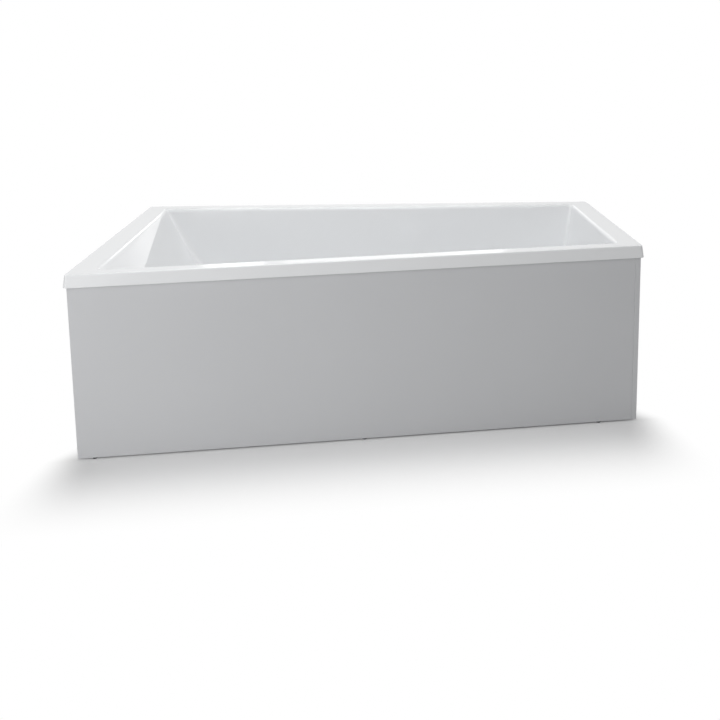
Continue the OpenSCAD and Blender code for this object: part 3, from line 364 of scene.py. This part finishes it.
def make_shell():
    """Shell with its glossy moulded side, and the rough laminate that is rolled on under it."""
    rings, moulded = shell_outlines()
    shell = new_object("bath_shell", rings.reshape(-1, 3), skin_faces(len(rings), rings.shape[1]))
    for name in ("sanitary_acrylic", "laminate"):
        shell.data.materials.append(MATERIALS[name])
    below = np.zeros(len(shell.data.polygons), dtype=np.int32)
    below[moulded * rings.shape[1] :] = 1
    below[-2] = 0
    shell.data.polygons.foreach_set("material_index", below)
    floor_z = BATH_H - BASIN_H
    recess, waste_hole = ([floor_z + end for end in cut] for cut in (RECESS_CUT, WASTE_CUT))
    cut_holes(
        shell,
        [
            disc_cutter("recess", RECESS_R, *recess, WASTE_FRAME),
            disc_cutter("waste_hole", WASTE_HOLE_R, *waste_hole, WASTE_FRAME),
            disc_cutter("overflow_hole", OVERFLOW_HOLE_R, *OVERFLOW_CUT, OVERFLOW_FRAME),
        ],
    )
    flat_normals(shell)
    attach(shell, "bath")
    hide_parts("tub_shell")


CORNER_LEAST_R = 0.0004


def rounded_prism(name, plan, low, high, r, steps=4):
    """Upright prism over a convex plan, with every edge rounded: each level is the plan set in by
    r (1 - cos a), with the level at r (1 - sin a) from the top or bottom, as a goes to a quarter turn."""
    plan = np.asarray(plan, float)
    a = np.linspace(0, np.pi / 2, steps + 1)
    inset = np.concatenate([r * (1 - np.sin(a)), r * (1 - np.cos(a))])
    z = np.concatenate([low + r * (1 - np.cos(a)), high - r * (1 - np.sin(a))])
    u = unit(np.roll(plan, -1, 0) - plan)
    inward = np.stack([-u[:, 1], u[:, 0]], axis=-1)
    lines = plan[None] + inward[None] * inset[:, None, None]
    corners = crossing(np.roll(lines, 1, 1), np.roll(np.broadcast_to(u, lines.shape), 1, 1), lines, u)
    corner_round = np.maximum(r - inset, 0) + CORNER_LEAST_R
    before, after = np.roll(corners, 1, 1), np.roll(corners, -1, 1)
    rings = np.concatenate(
        [
            arc_corner(before[:, c], corners[:, c], after[:, c], corner_round, steps)
            for c in range(len(plan))
        ],
        axis=1,
    )
    rings = np.concatenate([rings, np.broadcast_to(z[:, None, None], rings.shape[:2] + (1,))], axis=-1)
    made = new_object(name, rings.reshape(-1, 3), skin_faces(len(rings), rings.shape[1]))
    flat_normals(made)
    return made


# Panels: room round the skirt, at the left end and at the back wall, the edges' radius, and their place
SKIRT_CLEAR = 0.003
PANEL_END_GAP, PANEL_WALL_GAP = 0.0015, 0.002
PANEL_EDGE_R = 0.0012
NOTCH_PAST = 0.01
PANEL_LOW, PANEL_HIGH = PANEL_GAP, BATH_H - SKIRT_H + PANEL_TUCK
END_IN, END_OUT = RIGHT_X - PANEL_INSET - PANEL_T, RIGHT_X - PANEL_INSET


def make_panels():
    """The slanted front panel, and the end panel with a notch for the skirt at the back wall."""
    left = LEFT_X + PANEL_INSET + PANEL_END_GAP
    front = rounded_prism(
        "front_panel_lacquered",
        [
            (left, front_y(left, PANEL_INSET)),
            (END_IN, front_y(END_IN, PANEL_INSET)),
            (END_IN, front_y(END_IN, PANEL_INSET + PANEL_T)),
            (left, front_y(left, PANEL_INSET + PANEL_T)),
        ],
        PANEL_LOW, PANEL_HIGH, PANEL_EDGE_R,
    )
    end = rounded_prism(
        "end_panel_lacquered",
        [
            (END_IN, front_y(END_IN, PANEL_INSET)),
            (END_OUT, front_y(END_OUT, PANEL_INSET)),
            (END_OUT, BACK_Y - PANEL_WALL_GAP),
            (END_IN, BACK_Y - PANEL_WALL_GAP),
        ],
        PANEL_LOW, PANEL_HIGH, PANEL_EDGE_R,
    )
    notch_y, notch_z = BACK_Y - SHELL_T - SKIRT_DRAFT - SKIRT_CLEAR, BATH_H - SKIRT_H - SKIRT_CLEAR
    notch_low, notch_high = (END_IN - NOTCH_PAST, notch_y, notch_z), (END_OUT + NOTCH_PAST, BACK_Y, BATH_H)
    cut_holes(end, [box_cutter("skirt_notch", notch_low, notch_high)])
    flat_normals(end)
    for panel, node in ((front, "front_panel"), (end, "end_panel")):
        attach(panel, "bath")
        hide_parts(node)
    return front, end


def group(name, inputs, outputs):
    """Empty shader node group with the named sockets, its input node and its output node."""
    made = bpy.data.node_groups.new(name, "ShaderNodeTree")
    for label, kind, value in inputs:
        socket = made.interface.new_socket(label, in_out="INPUT", socket_type=kind)
        if value is not None:
            socket.default_value = value
    for label, kind in outputs:
        made.interface.new_socket(label, in_out="OUTPUT", socket_type=kind)
    return made, made.nodes.new("NodeGroupInput"), made.nodes.new("NodeGroupOutput")


FLOAT, COLOUR, VECTOR = "NodeSocketFloat", "NodeSocketColor", "NodeSocketVector"


def feed(tree, value, socket):
    """Gives the socket a constant, or links it to another node's output."""
    if isinstance(value, (int, float, tuple)):
        socket.default_value = value
    else:
        tree.links.new(value, socket)


def math_node(tree, operation, a, b):
    """Result of the operation on two values."""
    node = tree.nodes.new("ShaderNodeMath")
    node.operation = operation
    feed(tree, a, node.inputs[0])
    feed(tree, b, node.inputs[1])
    return node.outputs[0]


def span(tree, value, low, high, to_low, to_high, smooth=False):
    """Value mapped from one range to another and held at its ends."""
    node = tree.nodes.new("ShaderNodeMapRange")
    node.interpolation_type = "SMOOTHSTEP" if smooth else "LINEAR"
    for label, number in (("From Min", low), ("From Max", high), ("To Min", to_low), ("To Max", to_high)):
        feed(tree, number, node.inputs[label])
    tree.links.new(value, node.inputs["Value"])
    return node.outputs["Result"]


def mix_colour(tree, share, a, b):
    """Colour that goes from a to b with the share."""
    node = tree.nodes.new("ShaderNodeMix")
    node.data_type = "RGBA"
    for label, value in (("Factor", share), ("A", a), ("B", b)):
        feed(tree, value, node.inputs[label])
    return node.outputs["Result"]


def make_surface_group():
    """Colour and roughness that drift a little over the surface, and a fine grain for its relief."""
    tree, given, out = group(
        "surface_drift",
        [
            ("Colour", COLOUR, (0.8, 0.8, 0.8, 1)),
            ("Drift Colour", COLOUR, (0.7, 0.7, 0.7, 1)),
            ("Drift Scale", FLOAT, 4.0),
            ("Drift", FLOAT, 0.2),
            ("Grain Scale", FLOAT, 400.0),
            ("Roughness Low", FLOAT, 0.2),
            ("Roughness High", FLOAT, 0.3),
        ],
        [("Colour", COLOUR), ("Roughness", FLOAT), ("Height", FLOAT)],
    )
    coord = tree.nodes.new("ShaderNodeTexCoord").outputs["Object"]

    def scaled(label, detail):
        node = tree.nodes.new("ShaderNodeTexNoise")
        node.inputs["Detail"].default_value = detail
        tree.links.new(coord, node.inputs["Vector"])
        tree.links.new(given.outputs[label], node.inputs["Scale"])
        return node.outputs["Fac"]

    drift = scaled("Drift Scale", 4.0)
    grain = scaled("Grain Scale", 2.0)
    amount = math_node(tree, "MULTIPLY", drift, given.outputs["Drift"])
    colour = mix_colour(tree, amount, given.outputs["Colour"], given.outputs["Drift Colour"])
    rough = span(tree, drift, 0.3, 0.7, given.outputs["Roughness Low"], given.outputs["Roughness High"])
    tree.links.new(colour, out.inputs["Colour"])
    tree.links.new(rough, out.inputs["Roughness"])
    tree.links.new(grain, out.inputs["Height"])
    return tree


SURFACE = make_surface_group()


def material(name, colour, drift_colour, drift=0.3, drift_scale=4.0, grain_scale=400.0, rough=(0.2, 0.3),
             relief=0.02, relief_mm=0.05, **sockets):
    """Principled material fed by the surface group, with its own constant sockets set on the shader."""
    made = bpy.data.materials.new(name)
    made.use_nodes = True
    tree = made.node_tree
    shader = tree.nodes["Principled BSDF"]
    surface = tree.nodes.new("ShaderNodeGroup")
    surface.node_tree = SURFACE
    values = {
        "Colour": (*colour, 1), "Drift Colour": (*drift_colour, 1),
        "Drift Scale": drift_scale, "Drift": drift, "Grain Scale": grain_scale,
        "Roughness Low": rough[0], "Roughness High": rough[1],
    }
    for label, value in values.items():
        surface.inputs[label].default_value = value
    bump = tree.nodes.new("ShaderNodeBump")
    bump.inputs["Strength"].default_value = relief
    bump.inputs["Distance"].default_value = relief_mm / 1000
    tree.links.new(surface.outputs["Colour"], shader.inputs["Base Color"])
    tree.links.new(surface.outputs["Roughness"], shader.inputs["Roughness"])
    tree.links.new(surface.outputs["Height"], bump.inputs["Height"])
    tree.links.new(bump.outputs["Normal"], shader.inputs["Normal"])
    for label, value in sockets.items():
        shader.inputs[label.replace("_", " ")].default_value = value
    return made


def lay_over(made, share, colour, height, depth):
    """Lays a pattern over a material: its colour by the share, and its height, in millimetres the depth
    times the height."""
    tree = made.node_tree
    shader, bump = tree.nodes["Principled BSDF"], tree.nodes["Bump"]
    under = shader.inputs["Base Color"].links[0].from_socket
    tree.links.new(mix_colour(tree, share, under, (*colour, 1)), shader.inputs["Base Color"])
    grain = bump.inputs["Height"].links[0].from_socket
    raised = math_node(tree, "MULTIPLY", height, depth / 1000 / bump.inputs["Distance"].default_value)
    tree.links.new(math_node(tree, "ADD", grain, raised), bump.inputs["Height"])
    return made


def cells(tree, scale, stretch=(1, 1, 1)):
    """Voronoi cells over the object: a random value for each cell, and the distance from its middle."""
    squeezed = tree.nodes.new("ShaderNodeMapping")
    squeezed.inputs["Scale"].default_value = stretch
    tree.links.new(tree.nodes.new("ShaderNodeTexCoord").outputs["Object"], squeezed.inputs["Vector"])
    node = tree.nodes.new("ShaderNodeTexVoronoi")
    node.inputs["Scale"].default_value = scale
    tree.links.new(squeezed.outputs[0], node.inputs["Vector"])
    apart = tree.nodes.new("ShaderNodeSeparateColor")
    tree.links.new(node.outputs["Color"], apart.inputs[0])
    return apart.outputs[0], node.outputs["Distance"]


def lay_chips(made):
    """Pressed wood chips: flat cells of 3 to 8 mm, some of them darker bark."""
    value, far = cells(made.node_tree, 190, (1, 1, 2.5))
    dark = span(made.node_tree, value, 0.55, 0.95, 0.0, 0.75)
    return lay_over(made, dark, shade(118, 84, 52), far, 0.25)


def lay_fibres(made):
    """Chopped glass fibres in resin: long thin cells laid one way, over the same laid square to them."""
    tree = made.node_tree
    one, far = cells(tree, 60, (1, 7, 3))
    two, near = cells(tree, 60, (7, 1, 3))
    pale = span(tree, math_node(tree, "MULTIPLY", one, two), 0.1, 0.6, 0.0, 0.6)
    return lay_over(made, pale, shade(236, 234, 224), math_node(tree, "ADD", far, near), 0.5)


def lay_spangle(made):
    """Zinc spangle: flat grains of about 6 mm, each a little lighter or darker."""
    value, far = cells(made.node_tree, 160)
    pale = span(made.node_tree, value, 0.0, 1.0, 0.0, 0.5)
    return lay_over(made, pale, shade(178, 182, 188), far, 0.01)


def lay_thread(made, pitch):
    """Screw thread along Z: even bands, one for each pitch, as deep as 0.6 of it, with painted shade that
    darkens each groove. The wave texture of scale k has 10 k / pi bands in a metre."""
    tree = made.node_tree
    band = tree.nodes.new("ShaderNodeTexWave")
    band.bands_direction = "Z"
    band.inputs["Scale"].default_value = math.pi / 10 / pitch
    tree.links.new(tree.nodes.new("ShaderNodeTexCoord").outputs["Object"], band.inputs["Vector"])
    # Painted shade: the low part of each band, the groove, is darkened towards shade(110, 112, 116).
    low = math_node(tree, "SUBTRACT", 1.0, band.outputs["Fac"])
    dark = math_node(tree, "MULTIPLY", low, 0.6)
    return lay_over(made, dark, shade(110, 112, 116), band.outputs["Fac"], pitch * 1000 * 0.6)


def level(v):
    """Linear light of an sRGB level from 0 to 255."""
    v = v / 255
    return v / 12.92 if v <= 0.04045 else ((v + 0.055) / 1.055) ** 2.4


def shade(*levels):
    """Linear colour of sRGB levels from 0 to 255."""
    return tuple(level(v) for v in levels)


THREAD_PITCH = 0.0015


def make_materials():
    """One material for each material slot of the record, with the laminate and the thread."""
    made = {}
    made["sanitary_acrylic"] = material(
        "moulded_acrylic", shade(249, 250, 251), shade(243, 245, 247), drift=0.5, drift_scale=3,
        grain_scale=26, rough=(0.10, 0.16), relief=0.01, relief_mm=0.1, Specular_IOR_Level=0.4,
    )
    made["panel_lacquer"] = material(
        "lacquered_panel", shade(216, 217, 219), shade(208, 209, 211), drift=0.5, drift_scale=2.2,
        grain_scale=900, rough=(0.52, 0.62), relief=0.25, relief_mm=0.05,
    )
    made["laminate"] = lay_fibres(material(
        "glass_fibre_laminate", shade(214, 213, 202), shade(196, 194, 178), drift=0.9, drift_scale=9,
        grain_scale=320, rough=(0.36, 0.6), relief=0.5, relief_mm=0.3,
    ))
    made["chipboard"] = lay_chips(material(
        "pressed_chipboard", shade(198, 166, 122), shade(168, 132, 90), drift=1.0, drift_scale=70,
        grain_scale=700, rough=(0.6, 0.8), relief=0.5, relief_mm=0.2,
    ))
    steel = dict(
        colour=shade(200, 203, 206), drift_colour=shade(170, 174, 180), drift=0.9, drift_scale=40,
        grain_scale=600, rough=(0.3, 0.5), relief=0.3, relief_mm=0.05, Metallic=1.0,
    )
    made["zinc_steel"] = lay_spangle(material("zinc_plated_steel", **steel))
    made["thread"] = lay_thread(material("threaded_steel", **steel), THREAD_PITCH)
    made["anodised_aluminium"] = material(
        "brushed_aluminium", shade(206, 207, 208), shade(190, 192, 194), drift=0.5, drift_scale=30,
        grain_scale=900, rough=(0.32, 0.42), relief=0.15, relief_mm=0.03, Metallic=1.0,
    )
    made["dark_plastic"] = material(
        "moulded_dark_plastic", shade(52, 53, 55), shade(66, 67, 70), drift=0.6, drift_scale=50,
        grain_scale=1400, rough=(0.4, 0.55), relief=0.3, relief_mm=0.06,
    )
    made["black_rubber"] = material(
        "sole_rubber", shade(34, 34, 35), shade(52, 52, 54), drift=0.7, drift_scale=70, grain_scale=1100,
        rough=(0.7, 0.85), relief=0.4, relief_mm=0.08,
    )
    made["bright_chrome"] = material(
        "polished_chrome", shade(225, 226, 228), shade(214, 216, 219), drift=0.4, drift_scale=25,
        grain_scale=300, rough=(0.04, 0.09), relief=0.05, relief_mm=0.02, Metallic=1.0,
    )
    made["white_pipe_plastic"] = material(
        "pipe_plastic", shade(232, 232, 228), shade(222, 222, 216), drift=0.6, drift_scale=20,
        grain_scale=800, rough=(0.32, 0.42), relief=0.2, relief_mm=0.06,
    )
    made["grey_hose_plastic"] = material(
        "hose_plastic", shade(176, 178, 180), shade(158, 160, 163), drift=0.6, drift_scale=30,
        grain_scale=900, rough=(0.38, 0.48), relief=0.2, relief_mm=0.05,
    )
    made["cable_sheath"] = material(
        "sheath_plastic", shade(38, 38, 40), shade(56, 56, 58), drift=0.6, drift_scale=60, grain_scale=900,
        rough=(0.42, 0.55), relief=0.25, relief_mm=0.05,
    )
    return made


MATERIALS = make_materials()


def dress(piece, name):
    """The piece takes the named material alone."""
    piece.data.materials.clear()
    piece.data.materials.append(MATERIALS[name])


def dress_frame():
    """Every CAD node takes the material of its slot in the record, and the foot rods get their thread."""
    for part in frame["record"]["subparts"]:
        name = part["node"]
        dress(nodes[name], "thread" if name.startswith("foot_rod") else part["material_slot"])


dress_frame()
make_shell()
for panel in make_panels():
    dress(panel, "panel_lacquer")

# Studio: a white world and floor as they are seen, plain soft light on the object
FLOOR_REACH, FLOOR_DROP = 14.0, 0.0002
WORLD_LIGHT = 0.23
FLOOR_BOUNCE = 0.80
# Colour of the seen floor at the part's left and right ends, fitted to the photograph's shadow
# Painted light: the seen floor gets lighter from the left end to the right end, past 1 there, to make up for
# the lamps' light falling off to the right.
FLOOR_SEEN_PAINTED_LIGHT = (0.86, 1.03)
# Where the seen floor turns white: ahead of the panel, and inside the part's back edge
FADE_FROM, FADE_TO = 0.05, 0.41
BACK_FADE = 0.2
# Depths inside the part's ends between which the shadow comes in: at the panel's foot, and UNDER_REACH
# behind it. Ahead of the foot the two depths move apart, each by SPREAD for each metre.
RISE_AT_FOOT, RISE_BEHIND = (-0.10, 0.04), (0.0, 0.20)
UNDER_REACH, SPREAD = 0.14, 0.2


def seen_ray(tree):
    """1 for rays of the camera and for those that mirrors and glass send on, 0 for all light."""
    path = tree.nodes.new("ShaderNodeLightPath")
    bright = math_node(tree, "MAXIMUM", path.outputs["Is Camera Ray"], path.outputs["Is Glossy Ray"])
    return math_node(tree, "MAXIMUM", bright, path.outputs["Is Transmission Ray"])


def floor_place(tree):
    """X and Y of a place on the floor."""
    apart = tree.nodes.new("ShaderNodeSeparateXYZ")
    tree.links.new(tree.nodes.new("ShaderNodeTexCoord").outputs["Object"], apart.inputs[0])
    return apart.outputs["X"], apart.outputs["Y"]


def white_share(tree):
    """Share of plain white in the floor as it is seen, 1 - (1 - f) s b. Here v is the distance ahead of the
    front panel's foot, and f rises smoothly from 0 to 1 as v goes from FADE_FROM to FADE_TO. The shares s
    and b rise smoothly with the depth inside the part's two ends and inside its back. Ahead of the panel the
    rise of s grows wider with v, and behind the panel's foot it moves under the part, so the floor beside it
    is white."""
    left, right = LEFT_X + PANEL_INSET, RIGHT_X - PANEL_INSET
    x, y = floor_place(tree)
    from_left, from_right = math_node(tree, "SUBTRACT", x, left), math_node(tree, "SUBTRACT", right, x)
    ends = math_node(tree, "MINIMUM", from_left, from_right)
    along = math_node(tree, "MULTIPLY", x, math.sin(SLANT))
    line = math_node(tree, "ADD", along, front_y(0, PANEL_INSET) * math.cos(SLANT))
    v = math_node(tree, "SUBTRACT", line, math_node(tree, "MULTIPLY", y, math.cos(SLANT)))
    wider = math_node(tree, "MULTIPLY", math_node(tree, "MAXIMUM", v, 0.0), SPREAD)
    behind = span(tree, v, -UNDER_REACH, 0.0, 1.0, 0.0)
    starts, stops = (span(tree, behind, 0, 1, *ends_of) for ends_of in zip(RISE_AT_FOOT, RISE_BEHIND))
    low, high = math_node(tree, "SUBTRACT", starts, wider), math_node(tree, "ADD", stops, wider)
    beside = span(tree, ends, low, high, 0.0, 1.0, smooth=True)
    before = span(tree, v, FADE_FROM, FADE_TO, 1.0, 0.0, smooth=True)
    inside = span(tree, y, BACK_Y - BACK_FADE, BACK_Y, 1.0, 0.0, smooth=True)
    shadowed = math_node(tree, "MULTIPLY", math_node(tree, "MULTIPLY", before, beside), inside)
    return math_node(tree, "SUBTRACT", 1.0, shadowed)


def make_floor():
    """Floor that bounces plain light, and is seen with the object's shadow on it, fading to plain white."""
    corners = np.array([(-1, -1, 0), (1, -1, 0), (1, 1, 0), (-1, 1, 0)]) * FLOOR_REACH - (0, 0, FLOOR_DROP)
    floor = new_object("studio_floor", corners, [[0, 1, 2, 3]])
    made = bpy.data.materials.new("studio_floor")
    made.use_nodes = True
    tree = made.node_tree
    tree.nodes.remove(tree.nodes["Principled BSDF"])
    bounce = tree.nodes.new("ShaderNodeBsdfDiffuse")
    bounce.inputs["Color"].default_value = (FLOOR_BOUNCE, FLOOR_BOUNCE, FLOOR_BOUNCE, 1)
    near = tree.nodes.new("ShaderNodeBsdfDiffuse")
    # Painted light: the seen colour rises from left to right, against the lamps' falloff.
    tree.links.new(span(tree, floor_place(tree)[0], LEFT_X, RIGHT_X, *FLOOR_SEEN_PAINTED_LIGHT), near.inputs["Color"])
    far = tree.nodes.new("ShaderNodeEmission")
    far.inputs["Strength"].default_value = 1.0
    seen = tree.nodes.new("ShaderNodeMixShader")
    tree.links.new(white_share(tree), seen.inputs["Fac"])
    tree.links.new(near.outputs[0], seen.inputs[1])
    tree.links.new(far.outputs[0], seen.inputs[2])
    both = tree.nodes.new("ShaderNodeMixShader")
    tree.links.new(seen_ray(tree), both.inputs["Fac"])
    tree.links.new(bounce.outputs[0], both.inputs[1])
    tree.links.new(seen.outputs[0], both.inputs[2])
    tree.links.new(both.outputs[0], tree.nodes["Material Output"].inputs["Surface"])
    floor.data.materials.append(made)


def make_world():
    """World that lights weakly and is seen, in mirrors too, as plain white."""
    world = bpy.data.worlds.new("studio")
    scene.world = world
    world.use_nodes = True
    tree = world.node_tree
    back = tree.nodes["Background"]
    back.inputs["Color"].default_value = (1, 1, 1, 1)
    tree.links.new(span(tree, seen_ray(tree), 0, 1, WORLD_LIGHT, 1.0), back.inputs["Strength"])


def lamp(name, at, towards, size, power, high=None):
    """Soft lamp aimed from a place towards another: a disc, or a rectangle where its height is given."""
    data = bpy.data.lights.new(name, "AREA")
    data.shape, data.size, data.energy = "DISK", size, power
    if high:
        data.shape, data.size_y = "RECTANGLE", high
    made = bpy.data.objects.new(name, data)
    scene.collection.objects.link(made)
    made.visible_camera = False
    made.location = at
    made.rotation_mode = "QUATERNION"
    made.rotation_quaternion = (Vector(towards) - Vector(at)).to_track_quat("-Z", "Y")


make_floor()
make_world()
# Light from above and in front, then low strips behind the part whose glints run along the basin's lip
lamp("overhead", (-0.2, 0.3, 3.2), (0, 0, 0.3), 2.2, 40)
lamp("front_top", (0.0, -2.4, 2.6), (0, 0, 0.4), 1.6, 18)
lamp("front_left", (-1.0, -2.4, 0.9), (-0.6, -0.5, 0.3), 1.2, 4.5)
lamp("left_close", (-1.7, -1.9, 0.7), (-0.5, -0.3, 0.3), 0.8, 5.5)
lamp("back_left", (-0.95, 3.0, 1.62), (-0.8, 0, 0.55), 0.4, 1.5, 0.6)
lamp("back_middle", (0.0, 3.0, 1.42), (0, 0, 0.55), 1.2, 0.8, 0.25)
lamp("back_right", (0.75, 3.0, 1.52), (0.7, 0, 0.55), 0.35, 0.8, 0.5)

scene.view_settings.view_transform = "Standard"
